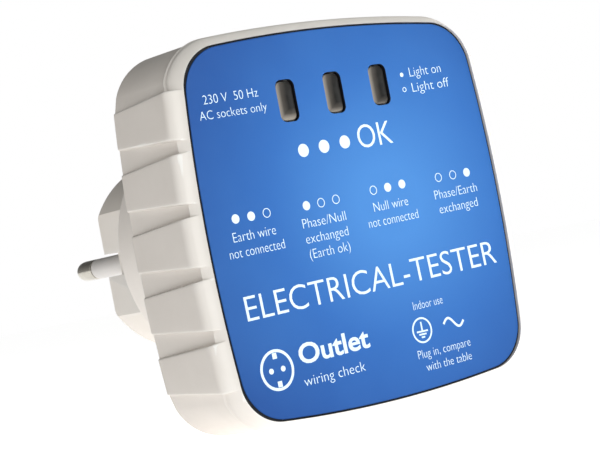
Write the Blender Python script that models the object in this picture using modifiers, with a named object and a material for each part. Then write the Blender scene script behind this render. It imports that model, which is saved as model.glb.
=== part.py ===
"""Outlet tester plug: a square tester head with a labelled front, on an earthed two-pin plug.

Metres, +Z up. The label faces -Y and the pins point along +Y.
The origin is the centre of the plug's end face.
"""

import math

import bmesh
import bpy

MM = 0.001
GAP = 0.3  # between pieces that touch; every number below is in millimetres

# Plug (standard earthed plug: 37 mm block, 4 mm sleeved pins 19 mm apart and 19 mm long)
BLOCK_R = 18.4
BLOCK_FLAT = 15.5
PIN_X = 9.5
PIN_R = 2.0
PIN_LENGTH = 19.1
SLEEVE_END = 12.8
GUIDE_WIDTH = 4.4
GUIDE_FLOOR = 12.4
CLIP_WIDTH = 6.0
CLIP_CHANNEL = 15.0
FLANGE_FRONT = -21.6
FLANGE_BACK = -24.6

# Collar and rear cover
COLLAR_R = 23.8
COLLAR_END = -17.8
COLLAR_WALL = 2.0
REAR = -42.0
COVER_THICK = 3.0

# Square head
FRONT = -60.6
HALF = 36.1
HEIGHT_RATIO = 0.986
CORNER = 11.6
SIDE_BULGE = 265.0
RIM_IN = 2.55
PAD_DEEP = 3.1
PAD_FADE = 1.4
RIM_DEEP = 3.8
RIM_BELOW_PADS = 0.7
CAVITY_HALF = 33.4
FRONT_WALL = (-58.9, -56.9)
SHELL_FRONT_BELOW = (1.75, 1.1)  # in the middle of the sides, at the corners, top and bottom
SHELL_REAR_BELOW = (0.3, 1.0)  # at the sides, at the top and bottom
SHELL_START = (FRONT + 1.7, FRONT + 3.9)
SHELL_SIDE = 28.0
PAD_PITCH = 10.66
PAD_FRONT = 4.29
PAD_REAR = 3.11

# Label and windows
LABEL_HALF = 32.85
LABEL_FRONT = -60.2
LABEL_THICK = 1.0
SEAT_WIDER = 1.006
SEAT_SHIFT = 0.2
WINDOW_X = (-11.25, -0.75, 9.75)
WINDOW_Z = 21.5
WINDOW_RISE = 0.035
WINDOW_WIDE = 4.0
WINDOW_TALL = 7.3
LENS_FRONT = -59.8

# Electronics
BOARD = (-49.8, -48.2)
BOARD_HALF_X = 22.5
BOARD_HALF_Z = 30.0
BOSS = 26.6
BOSS_R = 3.3
POST = (-18.0, 18.0)
POST_Z = -25.5
LAMP_R = 2.5
LEAD_R = 0.35


def start():
    for obj in list(bpy.data.objects):
        bpy.data.objects.remove(obj, do_unlink=True)
    for group in list(bpy.data.collections):
        bpy.data.collections.remove(group)
    parts = bpy.data.collections.new("parts")
    cutters = bpy.data.collections.new("cutters")
    for group in (parts, cutters):
        bpy.context.scene.collection.children.link(group)
    return parts, cutters


PARTS, CUTTERS = start()
MATERIALS = {}


def material(name, colour, rough=0.5, metal=0.0, clear=0.0):
    mat = MATERIALS.get(name)
    if mat is None:
        mat = bpy.data.materials.new(name)
        mat.use_nodes = True
        shader = mat.node_tree.nodes["Principled BSDF"]
        shader.inputs["Base Color"].default_value = (*colour, 1.0)
        shader.inputs["Roughness"].default_value = rough
        shader.inputs["Metallic"].default_value = metal
        shader.inputs["Transmission Weight"].default_value = clear
        MATERIALS[name] = mat
    return mat


HOUSING_GREY = (0.62, 0.60, 0.57)


def place(name, mesh, mat=None):
    obj = bpy.data.objects.new(name, mesh)
    if mat is None:
        CUTTERS.objects.link(obj)
        obj.hide_render = True
        obj.display_type = "WIRE"
    else:
        PARTS.objects.link(obj)
        mesh.materials.append(mat)
    return obj


def mesh_of(name, build):
    mesh = bpy.data.meshes.new(name)
    bm = bmesh.new()
    build(bm)
    bmesh.ops.recalc_face_normals(bm, faces=bm.faces)
    bm.to_mesh(mesh)
    bm.free()
    return mesh


def add_loft(bm, rings):
    """Closed skin through rings of millimetre points, capped at both ends."""
    rows = [[bm.verts.new([c * MM for c in p]) for p in ring] for ring in rings]
    count = len(rows[0])
    for a, b in zip(rows, rows[1:]):
        for i in range(count):
            j = (i + 1) % count
            bm.faces.new((a[i], a[j], b[j], b[i]))
    bm.faces.new(rows[0])
    bm.faces.new(rows[-1])


def loft(name, rings, mat=None):
    return place(name, mesh_of(name, lambda bm: add_loft(bm, rings)), mat)


def several(name, solids, mat=None):
    """One mesh of separate closed shapes, for cutters."""

    def build(bm):
        for rings in solids:
            add_loft(bm, rings)

    return place(name, mesh_of(name, build), mat)


def boolean(obj, other, operation="DIFFERENCE"):
    mod = obj.modifiers.new(operation.lower() + "_" + other.name, "BOOLEAN")
    mod.operation = operation
    mod.object = other
    mod.solver = "EXACT"
    mod.use_self = True
    return obj


def bulged_square(half, corner, y, bulge=SIDE_BULGE, side_steps=3, corner_steps=4):
    """Square outline with slightly bowed sides and round corners, in the plane of this y."""
    reach = bulge - half
    centre = (math.sqrt(2 * (bulge - corner) ** 2 - reach**2) - reach) / 2
    turn = math.atan2(centre, centre + reach)
    octant = []
    for i in range(side_steps):
        a = turn * i / side_steps
        octant.append((bulge * math.cos(a) - reach, bulge * math.sin(a)))
    for i in range(corner_steps + 1):
        a = turn + (math.pi / 4 - turn) * i / corner_steps
        octant.append((centre + corner * math.cos(a), centre + corner * math.sin(a)))
    quarter = octant + [(v, u) for u, v in reversed(octant[1:-1])]
    points = []
    for q in range(4):
        c, s = (1, 0, -1, 0)[q], (0, 1, 0, -1)[q]
        points += [(c * u - s * v, y, s * u + c * v) for u, v in quarter]
    return points


def head_ring(y, inset):
    ring = bulged_square(HALF - inset, CORNER - inset, y, SIDE_BULGE - inset)
    return [(x, y, z * HEIGHT_RATIO) for x, y, z in ring]


def rounded_box(x, z, wide, tall, radius, y, steps=4):
    points = []
    for q, (sx, sz) in enumerate(((1, 1), (-1, 1), (-1, -1), (1, -1))):
        for i in range(steps + 1):
            a = math.pi / 2 * (q + i / steps)
            points.append(
                (
                    x + sx * (wide / 2 - radius) + radius * math.cos(a),
                    y,
                    z + sz * (tall / 2 - radius) + radius * math.sin(a),
                )
            )
    return points


def box_rings(x0, x1, y0, y1, z0, z1):
    return [[(x0, y, z0), (x1, y, z0), (x1, y, z1), (x0, y, z1)] for y in (y0, y1)]


def circle(x, z, r, y, count=16):
    turn = 2 * math.pi / count
    return [
        (x + r * math.cos(turn * (i + 0.5)), y, z + r * math.sin(turn * (i + 0.5)))
        for i in range(count)
    ]


def rod(x, z, r, y0, y1, count=16):
    return [circle(x, z, r, y0, count), circle(x, z, r, y1, count)]


def turned(name, profile, mat=None, x=0.0, z=0.0, steps=48, closed=False):
    """Solid of revolution about Y through (x, z). The profile is (radius, y) from the highest y down."""
    mesh = bpy.data.meshes.new(name)
    points = [(r * MM, 0.0, y * MM) for r, y in profile]
    edges = [(i, i + 1) for i in range(len(points) - 1)]
    if closed:
        edges.append((len(points) - 1, 0))
    mesh.from_pydata(points, edges, [])
    obj = place(name, mesh, mat)
    obj.rotation_euler = (-math.pi / 2, 0.0, 0.0)
    obj.location = (x * MM, 0.0, z * MM)
    mod = obj.modifiers.new("turn", "SCREW")
    mod.steps = steps
    mod.render_steps = steps
    mod.use_merge_vertices = True
    mod.merge_threshold = 0.00001
    return obj


def wire(name, route, radius, mat=None, smooth=True, resolution=2, samples=16):
    """Round wire along a route in millimetres, converted to a closed mesh."""
    path = smooth_route(route, samples) if smooth else route
    curve = bpy.data.curves.new(name + "_path", "CURVE")
    curve.dimensions = "3D"
    curve.bevel_depth = radius * MM
    curve.bevel_resolution = resolution
    curve.use_fill_caps = True
    spline = curve.splines.new("POLY")
    spline.points.add(len(path) - 1)
    for point, place_at in zip(spline.points, path):
        point.co = (*(c * MM for c in place_at), 1.0)
    obj = bpy.data.objects.new(name + "_path", curve)
    bpy.context.scene.collection.objects.link(obj)
    bpy.context.view_layer.update()
    graph = bpy.context.evaluated_depsgraph_get()
    mesh = bpy.data.meshes.new_from_object(obj.evaluated_get(graph))
    mesh.name = name
    bm = bmesh.new()
    bm.from_mesh(mesh)
    bmesh.ops.remove_doubles(bm, verts=bm.verts, dist=0.00001)
    bmesh.ops.recalc_face_normals(bm, faces=bm.faces)
    bm.to_mesh(mesh)
    bm.free()
    bpy.data.objects.remove(obj, do_unlink=True)
    bpy.data.curves.remove(curve)
    mesh.materials.clear()
    return place(name, mesh, mat)


def smooth_route(points, samples):
    """Catmull-Rom points through the route's own points."""
    padded = [points[0], *points, points[-1]]
    out = []
    spans = len(points) - 1
    each = max(2, samples // spans)
    for k in range(spans):
        p0, p1, p2, p3 = padded[k : k + 4]
        for i in range(each):
            t = i / each
            out.append(
                tuple(
                    0.5
                    * (
                        2 * b
                        + (c - a) * t
                        + (2 * a - 5 * b + 4 * c - d) * t * t
                        + (3 * b - a - 3 * c + d) * t**3
                    )
                    for a, b, c, d in zip(p0, p1, p2, p3)
                )
            )
    return out + [points[-1]]


def strip(name, centre, thick, x0, x1, mat):
    """Bent sheet strip: a centre line in (y, z) given thickness, extruded along X."""
    left, right = [], []
    for i, (y, z) in enumerate(centre):
        a = centre[max(i - 1, 0)]
        b = centre[min(i + 1, len(centre) - 1)]
        ty, tz = b[0] - a[0], b[1] - a[1]
        size = math.hypot(ty, tz)
        ny, nz = -tz / size * thick / 2, ty / size * thick / 2
        left.append((y + ny, z + nz))
        right.append((y - ny, z - nz))
    outline = left + right[::-1]
    return loft(name, [[(x, y, z) for y, z in outline] for x in (x0, x1)], mat)


# ---------------------------------------------------------------- square head


def rim_inset(y):
    """How far the rim lies inside the outline at this y behind the front."""
    return RIM_IN - (RIM_IN - RIM_BELOW_PADS) * math.sin(math.pi / 2 * min(1.0, y / RIM_DEEP))


def pad_inset(y):
    """The same for the grip pads, which fade into the rim at the front."""
    pad = RIM_IN - RIM_IN * math.sin(math.pi / 2 * min(1.0, y / PAD_DEEP))
    share = min(1.0, y / PAD_FADE)
    return rim_inset(y) + (pad - rim_inset(y)) * share * share * (3 - 2 * share)


def window_z(x):
    """Height of the window at x: the row rises a little to the right, as the print does."""
    return WINDOW_Z + WINDOW_RISE * (x - WINDOW_X[1])


def front_housing():
    rings = [
        head_ring(FRONT + y, pad_inset(y))
        for y in (0.0, 0.35, 0.7, 1.05, 1.4, 1.8, 2.2, 2.65, PAD_DEEP, REAR - 0.9 - FRONT)
    ]
    rings += [head_ring(REAR - 0.6, 0.0), head_ring(REAR - 0.2, 0.18), head_ring(REAR, 0.5)]
    body = loft("front_housing", rings, material("housing_plastic", HOUSING_GREY, 0.45))

    cavity = loft(
        "head_cavity",
        [bulged_square(CAVITY_HALF, CORNER - 2.8, y) for y in (FRONT_WALL[1], REAR + 2)],
    )
    boolean(body, cavity)
    bosses = several(
        "head_bosses",
        [
            rod(sx * BOSS, sz * BOSS, BOSS_R, FRONT_WALL[1] - 0.6, REAR - COVER_THICK - GAP)
            for sx in (-1, 1)
            for sz in (-1, 1)
        ]
        + [rod(x, POST_Z, 2.6, FRONT_WALL[1] - 0.6, BOARD[0] - GAP) for x in POST],
    )
    boolean(body, bosses, "UNION")
    label_seat = loft("label_seat", [seat_ring(y) for y in (FRONT - 2, FRONT_WALL[0])])
    boolean(body, label_seat)
    holes = [rod(sx * BOSS, sz * BOSS, 1.5, -54.6, REAR) for sx in (-1, 1) for sz in (-1, 1)]
    holes += [rod(x, POST_Z, 1.3, -55.6, REAR) for x in POST]
    holes += [
        [
            rounded_box(x, window_z(x), WINDOW_WIDE + 0.4, WINDOW_TALL + 0.4, 1.4, y)
            for y in (FRONT, FRONT_WALL[1] + 1)
        ]
        for x in WINDOW_X
    ]
    boolean(body, several("head_holes", holes))

    recess = place("recess", mesh_of("recess", add_recess))
    boolean(recess, loft("shell_core", [shell_ring(y) for y in (FRONT - 3, REAR + 3)]))
    pads = []
    for k in range(-2, 3):
        z = k * PAD_PITCH
        for x0, x1 in ((-42, -28), (28, 42)):
            y0, y1 = FRONT - 4, REAR + 4
            pads.append(
                [
                    [(x0, y, z - h), (x1, y, z - h), (x1, y, z + h), (x0, y, z + h)]
                    for y, h in ((y0, pad_half(y0)), (y1, pad_half(y1)))
                ]
            )
    trim = turned(
        "rim_trim",
        [(60, REAR + 2), (60, FRONT - 2), (30, FRONT - 2), (30, REAR + 2)],
        closed=True,
        steps=64,
    )
    rings = [head_ring(FRONT - 3, RIM_IN)]
    for i in range(7):
        y = RIM_DEEP * i / 7
        rings.append(head_ring(FRONT + y, rim_inset(y) + 0.01))
    rings.append(head_ring(FRONT + RIM_DEEP, RIM_BELOW_PADS))
    rings += [head_ring(y, 0.1) for y in (FRONT + RIM_DEEP + 0.3, REAR + 3)]
    boolean(trim, boolean(loft("rim_core", rings), recess))
    boolean(trim, several("side_pads", pads))
    return boolean(body, trim)


def seat_ring(y):
    """Opening for the label, which sits a little to the right in it."""
    ring = bulged_square(LABEL_HALF + GAP, CORNER - 3.2, y)
    return [(x * SEAT_WIDER - SEAT_SHIFT, y, z) for x, _, z in ring]


def beside(z):
    """1 in the middle of a side, falling to 0 at the corners."""
    return 1 - min(1.0, abs(z) / SHELL_SIDE) ** 4


def add_recess(bm):
    """Solid behind the rim's rear edge, which lies further back at the corners than in mid-side."""
    rows = [[], [], []]
    for x, _, z in bulged_square(HALF + 3, CORNER + 3, 0, side_steps=6):
        y = SHELL_START[1] + (SHELL_START[0] - SHELL_START[1]) * beside(z)
        corners = ((x * 0.84, y, z * 0.84), (x, y, z), (x, REAR + 2, z))
        for row, corner in zip(rows, corners):
            row.append(bm.verts.new([c * MM for c in corner]))
    middle = bm.verts.new((0, SHELL_START[0] * MM, 0))
    for i, corner in enumerate(rows[0]):
        following = (i + 1) % len(rows[0])
        bm.faces.new((middle, corner, rows[0][following]))
        for a, b in zip(rows, rows[1:]):
            bm.faces.new((a[i], b[i], b[following], a[following]))
    bm.faces.new(rows[2])


def shell_ring(y):
    """Outline of the head between the pads, behind the rim: it runs out to the sides at the rear."""
    share = (y - FRONT) / (REAR - FRONT)
    outer = bulged_square(HALF, CORNER, y)
    inner = bulged_square(HALF - 1, CORNER - 1, y, SIDE_BULGE - 1)
    ring = []
    for (x, _, z), (x1, _, z1) in zip(outer, inner):
        nx, nz = x - x1, z - z1
        front = SHELL_FRONT_BELOW[1] + (SHELL_FRONT_BELOW[0] - SHELL_FRONT_BELOW[1]) * beside(z)
        rear = SHELL_REAR_BELOW[0] * nx * nx + SHELL_REAR_BELOW[1] * (1 - nx * nx)
        below = front + (rear - front) * share
        ring.append((x - nx * below, y, (z - nz * below) * HEIGHT_RATIO))
    return ring


def pad_half(y):
    """Half the height of a grip pad, which narrows towards the rear."""
    return PAD_FRONT + (PAD_REAR - PAD_FRONT) * (y - LABEL_FRONT) / (REAR - LABEL_FRONT)


def front_label():
    back = LABEL_FRONT + LABEL_THICK
    plate = loft(
        "front_label",
        [
            bulged_square(LABEL_HALF - 0.2, CORNER - 3.4, LABEL_FRONT),
            bulged_square(LABEL_HALF, CORNER - 3.2, LABEL_FRONT + 0.2),
            bulged_square(LABEL_HALF, CORNER - 3.2, back),
        ],
        material("label_blue", (0.05, 0.2, 0.62), 0.35),
    )
    slots = [
        [
            rounded_box(x, window_z(x), WINDOW_WIDE, WINDOW_TALL, 1.2, y)
            for y in (LABEL_FRONT - 1, back + 1)
        ]
        for x in WINDOW_X
    ]
    return boolean(plate, several("label_slots", slots))


def windows():
    for name, x in zip(("window_left", "window_middle", "window_right"), WINDOW_X):
        wide, tall = WINDOW_WIDE - 2 * GAP, WINDOW_TALL - 2 * GAP
        rings = [
            rounded_box(x, window_z(x), wide, tall, 1.0, y) for y in (LENS_FRONT, FRONT_WALL[1] + GAP)
        ]
        rings += [
            rounded_box(x, window_z(x), wide + 2.4, tall + 2.4, 2.0, y)
            for y in (FRONT_WALL[1] + GAP, FRONT_WALL[1] + 1.1)
        ]
        loft(name, rings, material("smoky_lens", (0.09, 0.08, 0.07), 0.15))


# ---------------------------------------------------------------- rear cover and plug


def rear_cover():
    plate = loft(
        "rear_cover",
        [
            bulged_square(CAVITY_HALF - GAP, CORNER - 3.1, REAR - COVER_THICK),
            bulged_square(CAVITY_HALF - GAP, CORNER - 3.1, REAR - 0.3),
            bulged_square(CAVITY_HALF - GAP - 0.3, CORNER - 3.4, REAR),
        ],
        material("cover_plastic", HOUSING_GREY, 0.45),
    )
    collar = turned(
        "collar_outside",
        [
            (0.0, COLLAR_END),
            (COLLAR_R - 1.0, COLLAR_END),
            (COLLAR_R - 0.3, COLLAR_END - 0.3),
            (COLLAR_R, COLLAR_END - 1.0),
            (COLLAR_R, REAR + 0.8),
            (COLLAR_R + 0.8, REAR),
            (COLLAR_R + 0.8, REAR - 1.0),
            (0.0, REAR - 1.0),
        ],
        steps=64,
    )
    boolean(plate, collar, "UNION")
    inner = COLLAR_R - COLLAR_WALL
    bore = turned(
        "collar_bore",
        [
            (0.0, COLLAR_END + 2),
            (BLOCK_R + GAP, COLLAR_END + 2),
            (BLOCK_R + GAP, FLANGE_FRONT + GAP),
            (inner, FLANGE_FRONT + GAP),
            (inner, REAR - COVER_THICK - 2),
            (0.0, REAR - COVER_THICK - 2),
        ],
        steps=64,
    )
    boolean(plate, bore)
    holes = []
    for sx in (-1, 1):
        for sz in (-1, 1):
            holes.append(rod(sx * BOSS, sz * BOSS, 1.5, REAR - COVER_THICK - 1, REAR + 1))
            holes.append(rod(sx * BOSS, sz * BOSS, 2.95, REAR - 2.0, REAR + 2))
    return boolean(plate, several("cover_holes", holes))


def plug_insert():
    flange_r = COLLAR_R - COLLAR_WALL - GAP
    body = turned(
        "plug_insert",
        [
            (0.0, 0.0),
            (BLOCK_R - 0.9, 0.0),
            (BLOCK_R - 0.25, -0.27),
            (BLOCK_R, -0.9),
            (BLOCK_R, FLANGE_FRONT),
            (flange_r, FLANGE_FRONT),
            (flange_r, FLANGE_BACK),
            (0.0, FLANGE_BACK),
        ],
        material("plug_plastic", HOUSING_GREY, 0.45),
        steps=64,
    )
    sides = []
    for s in (-1, 1):
        x = sorted((s * BLOCK_FLAT, s * 30))
        sides.append(box_rings(*x, COLLAR_END + 0.3, 2, -30, 30))
    boolean(body, several("plug_flats", sides))
    grooves = []
    for s in (-1, 1):
        x = sorted((s * GUIDE_FLOOR, s * 31))
        grooves.append(box_rings(*x, COLLAR_END + 0.3, 3, -GUIDE_WIDTH / 2, GUIDE_WIDTH / 2))
        z = sorted((s * CLIP_CHANNEL, s * 31))
        grooves.append(box_rings(-CLIP_WIDTH / 2 - 0.5, CLIP_WIDTH / 2 + 0.5, -30, 3.5, *z))
    for s in (-1, 1):
        grooves.append(rod(s * PIN_X, 0, PIN_R + GAP, FLANGE_BACK - 2, 2.5, 24))
    for x, z in carrier_screw_places():
        grooves.append(rod(x, z, 1.4, FLANGE_BACK - 2, -14))
    return boolean(body, several("plug_grooves", grooves))


def carrier_screw_places():
    return ((-9.5, -10.5), (9.5, 10.5))


def contact_carrier():
    radius = COLLAR_R - COLLAR_WALL - GAP
    front, back = FLANGE_BACK - GAP, FLANGE_BACK - 4.0
    body = loft(
        "contact_carrier",
        [circle(0, 0, radius, y, 48) for y in (back, front)],
        material("carrier_plastic", (0.16, 0.17, 0.18), 0.5),
    )
    holes = []
    for s in (-1, 1):
        holes.append(rod(s * PIN_X, 0, 3.5, front - 2.5, front + 2))
        holes.append(rod(s * PIN_X, 0, 1.5, back - 2, front + 1))
        z = sorted((s * CLIP_CHANNEL, s * 31))
        holes.append(box_rings(-CLIP_WIDTH / 2 - 0.5, CLIP_WIDTH / 2 + 0.5, back - 1, front + 1, *z))
    for x, z in carrier_screw_places():
        holes.append(rod(x, z, 1.4, back - 3, front + 3))
    return boolean(body, several("carrier_holes", holes))


def pins():
    brass = material("pin_metal", (0.55, 0.52, 0.42), 0.25, 1.0)
    cover = material("sleeve_plastic", (0.5, 0.5, 0.49), 0.5)
    back = FLANGE_BACK - GAP
    for side, x in (("left", -PIN_X), ("right", PIN_X)):
        turned(
            "pin_" + side,
            [
                (0.0, PIN_LENGTH),
                (0.8, PIN_LENGTH - 0.12),
                (1.5, PIN_LENGTH - 0.7),
                (1.9, PIN_LENGTH - 1.5),
                (PIN_R, PIN_LENGTH - 2.6),
                (PIN_R, SLEEVE_END),
                (1.15, SLEEVE_END),
                (1.15, back - GAP),
                (3.2, back - GAP),
                (3.2, back - 2.2),
                (1.1, back - 2.2),
                (1.1, back - 7.0),
                (0.0, back - 7.0),
            ],
            brass,
            x=x,
            steps=24,
        )
        turned(
            "sleeve_" + side,
            [
                (1.45, SLEEVE_END - GAP),
                (PIN_R, SLEEVE_END - GAP),
                (PIN_R, FLANGE_BACK + 1.0),
                (1.45, FLANGE_BACK + 1.0),
            ],
            cover,
            x=x,
            steps=24,
            closed=True,
        )


def earth_contacts():
    steel = material("contact_metal", (0.6, 0.58, 0.54), 0.3, 1.0)
    shape = [
        (-30.4, 16.0),
        (-24.0, 16.0),
        (-18.2, 16.0),
        (-16.0, 16.5),
        (-13.0, 17.5),
        (-9.5, 18.0),
        (-6.0, 17.8),
        (-3.2, 17.0),
        (-1.2, 16.2),
    ]
    half = CLIP_WIDTH / 2
    for name, s in (("earth_clip_top", 1), ("earth_clip_bottom", -1)):
        strip(name, [(y, s * z) for y, z in shape], 0.8, -half, half, steel)
    back = FLANGE_BACK - 4.0
    strip(
        "earth_bridge",
        [(back - GAP - 0.4, -15.0), (back - GAP - 0.4, 0.0), (back - GAP - 0.4, 15.0)],
        0.8,
        -half,
        half,
        steel,
    )


# ---------------------------------------------------------------- electronics


def lead_places():
    """(name, x, z, length between leads) of the small parts lying along X on the board."""
    return (
        ("resistor_1", -12.0, 4.5, 10.5),
        ("resistor_2", -12.0, -2.5, 10.5),
        ("resistor_3", -12.0, -9.5, 10.5),
        ("diode_1", 10.5, 4.5, 9.5),
        ("diode_2", 10.5, -2.5, 9.5),
        ("diode_3", 10.5, -9.5, 9.5),
    )


def small_parts():
    axis = BOARD[0] - 2.2
    for name, x, z, span in lead_places():
        part = wire(
            name,
            [
                (x - span / 2, BOARD[1] + 1.0, z),
                (x - span / 2, axis + 0.6, z),
                (x - span / 2 + 0.6, axis, z),
                (x + span / 2 - 0.6, axis, z),
                (x + span / 2, axis + 0.6, z),
                (x + span / 2, BOARD[1] + 1.0, z),
            ],
            LEAD_R,
            material("resistor_body", (0.45, 0.33, 0.2), 0.5)
            if name.startswith("resistor")
            else material("diode_body", (0.05, 0.05, 0.05), 0.4),
            smooth=False,
        )
        if name.startswith("resistor"):
            profile = [(0.0, 3.3), (0.9, 3.2), (1.25, 2.7), (1.25, 1.9), (1.05, 1.5)]
            profile += [(r, -y) for r, y in reversed(profile)]
        else:
            profile = [(0.0, 2.6), (1.2, 2.6), (1.35, 2.45), (1.35, -2.45), (1.2, -2.6), (0.0, -2.6)]
        body = turned(name + "_form", profile, steps=16)
        body.rotation_euler = (0.0, math.pi / 2, 0.0)
        body.location = (x * MM, axis * MM, z * MM)
        boolean(part, body, "UNION")


def circuit_board():
    board = loft(
        "circuit_board",
        [
            rounded_box(0, 0, 2 * BOARD_HALF_X, 2 * BOARD_HALF_Z, 2.0, y, 3)
            for y in BOARD
        ],
        material("board_green", (0.05, 0.22, 0.1), 0.4),
    )
    places = [(x, z, LEAD_R + GAP) for x, z in lamp_leads()]
    for _, x, z, span in lead_places():
        places += [(x - span / 2, z, LEAD_R + GAP), (x + span / 2, z, LEAD_R + GAP)]
    places += [(x, POST_Z, 1.4) for x in POST]
    holes = [rod(x, z, r, BOARD[0] - 1, BOARD[1] + 1, 12) for x, z, r in places]
    return boolean(board, several("board_holes", holes))


def lamp_leads():
    return [(x + dx, WINDOW_Z) for x in WINDOW_X for dx in (-1.27, 1.27)]


def lamps():
    glass = material("lamp_glass", (0.75, 0.72, 0.66), 0.2, 0.0, 0.3)
    tip = FRONT_WALL[1] + 1.5
    for name, x in zip(("lamp_left", "lamp_middle", "lamp_right"), WINDOW_X):
        lamp = turned(
            name,
            [
                (0.0, BOARD[0] - GAP),
                (LAMP_R + 0.35, BOARD[0] - GAP),
                (LAMP_R + 0.35, BOARD[0] - GAP - 0.9),
                (LAMP_R, BOARD[0] - GAP - 0.9),
                (LAMP_R, tip + 1.7),
                (LAMP_R * 0.92, tip + 1.0),
                (LAMP_R * 0.7, tip + 0.4),
                (LAMP_R * 0.38, tip + 0.08),
                (0.0, tip),
            ],
            glass,
            x=x,
            z=WINDOW_Z,
            steps=20,
        )
        leads = several(
            name + "_leads",
            [rod(x + dx, WINDOW_Z, LEAD_R, BOARD[0] - 1.0, BOARD[1] + 1.0, 8) for dx in (-1.27, 1.27)],
        )
        boolean(lamp, leads, "UNION")


def lamp_holder():
    holder = loft(
        "lamp_holder",
        [
            rounded_box(WINDOW_X[1], WINDOW_Z, 33.0, 12.0, 2.0, y)
            for y in (FRONT_WALL[1] + 1.4, BOARD[0] - GAP)
        ],
        material("holder_plastic", (0.03, 0.03, 0.03), 0.5),
    )
    bores = [rod(x, WINDOW_Z, LAMP_R + 0.35 + GAP, FRONT_WALL[1], BOARD[0] + 1, 24) for x in WINDOW_X]
    return boolean(holder, several("holder_bores", bores))


def hookup_wires():
    tail = FLANGE_BACK - 3 * GAP - 7.0
    end = BOARD[1] + 2 * GAP
    routes = (
        (
            "wire_live", (0.35, 0.12, 0.05),
            [(-PIN_X, tail, 0), (-PIN_X, tail - 2, 0), (-PIN_X, tail - 4, -1), (-12, -40, -10)],
            -13,
        ),
        (
            "wire_neutral", (0.05, 0.15, 0.5),
            [(PIN_X, tail, 0), (PIN_X, tail - 2, 0), (PIN_X, tail - 4, -1), (12, -40, -10)],
            13,
        ),
        ("wire_earth", (0.3, 0.5, 0.1), [(0, -29.8 - GAP, 8), (0, -33, 8), (1, -40, 0)], 2),
    )
    for name, colour, route, x in routes:
        route = [*route, (x, end + 3, -14), (x, end, -14)]
        wire(name, route, 0.9, material(name, colour, 0.45), samples=20)


def screw(name, x, z, seat, head_r, head_h, shank_r, tip):
    """Cross-head screw driven along -Y: its head rests on the seat and its tip is at the tip's y."""
    body = turned(
        name,
        [
            (0.0, seat + head_h),
            (head_r * 0.6, seat + head_h),
            (head_r, seat + head_h * 0.55),
            (head_r, seat),
            (shank_r, seat),
            (shank_r, tip + 1.0),
            (0.0, tip),
        ],
        material("screw_steel", (0.5, 0.5, 0.5), 0.3, 1.0),
        x=x,
        z=z,
        steps=16,
    )
    top = seat + head_h
    a, b = head_r * 0.6, head_r * 0.14
    slots = several(
        name + "_cross",
        [box_rings(x - a, x + a, top - head_h * 0.5, top + 1, z - b, z + b)],
    )
    upright = several(
        name + "_upright",
        [box_rings(x - b, x + b, top - head_h * 0.5, top + 1, z - a, z + a)],
    )
    boolean(body, slots)
    boolean(body, upright)


def screws():
    seat = REAR - 2.0 + GAP
    for i, (sx, sz) in enumerate(((-1, 1), (1, 1), (-1, -1), (1, -1))):
        screw(f"cover_screw_{i + 1}", sx * BOSS, sz * BOSS, seat, 2.6, 1.5, 1.2, -53.5)
    for side, x in zip(("left", "right"), POST):
        screw("board_screw_" + side, x, POST_Z, BOARD[1] + GAP, 2.2, 1.4, 1.0, -54.8)


def carrier_screws():
    seat = FLANGE_BACK - 4.0 - GAP
    for i, (x, z) in enumerate(carrier_screw_places()):
        name = f"carrier_screw_{i + 1}"
        top = seat - 1.3
        body = loft(
            name,
            [
                circle(x, z, 1.3, top),
                circle(x, z, 2.1, seat - 0.7),
                circle(x, z, 2.1, seat),
                circle(x, z, 1.1, seat),
                circle(x, z, 1.1, -16.0),
                circle(x, z, 0.3, -15.2),
            ],
            material("screw_steel", (0.5, 0.5, 0.5), 0.3, 1.0),
        )
        slot = [box_rings(x - 3, x + 3, top - 1, top + 0.6, z - 0.3, z + 0.3)]
        boolean(body, several(name + "_slot", slot))


front_housing()
front_label()
windows()
rear_cover()
plug_insert()
contact_carrier()
pins()
earth_contacts()
circuit_board()
small_parts()
lamps()
lamp_holder()
hookup_wires()
screws()
carrier_screws()
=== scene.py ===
"""Outlet tester plug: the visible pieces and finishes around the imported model.

Sizes are in millimetres until MM is applied.
"""
import math

import bmesh
import bpy
from mathutils import Matrix, Vector


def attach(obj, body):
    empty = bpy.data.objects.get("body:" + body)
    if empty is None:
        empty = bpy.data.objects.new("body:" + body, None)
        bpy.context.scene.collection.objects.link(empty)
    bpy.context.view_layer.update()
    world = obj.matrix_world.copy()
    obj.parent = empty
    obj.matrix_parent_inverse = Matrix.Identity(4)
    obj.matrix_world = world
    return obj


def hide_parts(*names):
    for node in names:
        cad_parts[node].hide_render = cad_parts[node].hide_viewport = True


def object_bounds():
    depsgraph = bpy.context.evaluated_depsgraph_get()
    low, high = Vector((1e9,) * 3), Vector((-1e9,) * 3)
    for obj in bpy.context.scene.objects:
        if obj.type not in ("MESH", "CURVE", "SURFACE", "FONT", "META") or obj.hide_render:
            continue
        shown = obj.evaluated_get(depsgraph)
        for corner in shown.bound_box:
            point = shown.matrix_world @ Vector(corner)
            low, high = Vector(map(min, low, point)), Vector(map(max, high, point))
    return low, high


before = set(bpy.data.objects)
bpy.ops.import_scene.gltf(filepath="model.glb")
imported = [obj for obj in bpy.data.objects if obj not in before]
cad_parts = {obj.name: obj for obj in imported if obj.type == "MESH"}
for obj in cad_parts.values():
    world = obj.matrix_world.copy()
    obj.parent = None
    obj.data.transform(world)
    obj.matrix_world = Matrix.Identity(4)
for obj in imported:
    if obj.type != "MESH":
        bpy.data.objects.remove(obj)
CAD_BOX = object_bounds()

MM = 0.001
GAP = 0.3

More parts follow.
